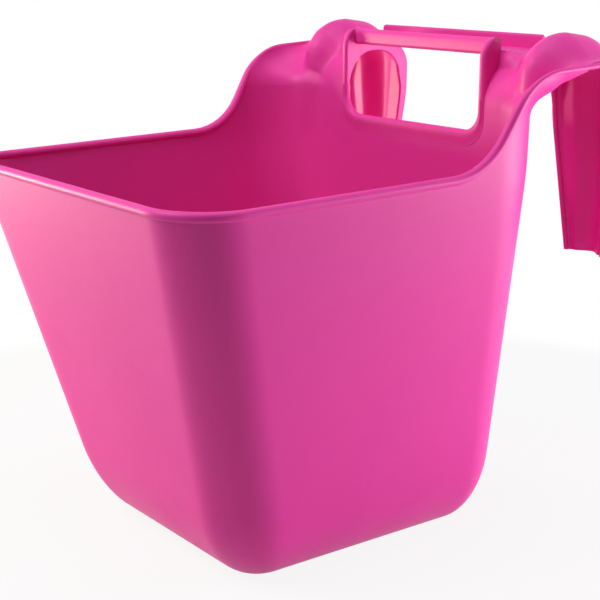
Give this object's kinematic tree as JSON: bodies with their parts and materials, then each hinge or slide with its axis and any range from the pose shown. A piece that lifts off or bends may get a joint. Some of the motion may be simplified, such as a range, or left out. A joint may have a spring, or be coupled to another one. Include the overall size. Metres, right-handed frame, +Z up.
{
  "type": "hook-over horse feed bucket",
  "caption": "Rectangular one-piece feed bucket with two rigid hooks for a stall door or rail and a hand hole between them.",
  "frame": {"origin": "on the floor, under the middle of the whole bucket's bounding box", "axes": "+Z up; -Y towards the leaning front wall; +Y towards the hooks and the door or rail that they go over; +X across the bucket"},
  "size_m": [0.3162, 0.3766, 0.3537],
  "materials": {
    "tub": "satin pink injection-moulded polyethylene"
  },
  "bodies": {
    "root": {"base": "tub", "front_wall": "tub", "left_side_wall": "tub", "right_side_wall": "tub", "back_wall": "tub", "rim_bead": "tub", "hand_hole_frame": "tub", "grab_bar": "tub", "handle_deck": "tub", "rear_bar": "tub", "left_gusset": "tub", "right_gusset": "tub", "left_hook_saddle": "tub", "right_hook_saddle": "tub", "left_hook_rib": "tub", "right_hook_rib": "tub", "left_hook_leg": "tub", "right_hook_leg": "tub"}
  },
  "joints": []
}
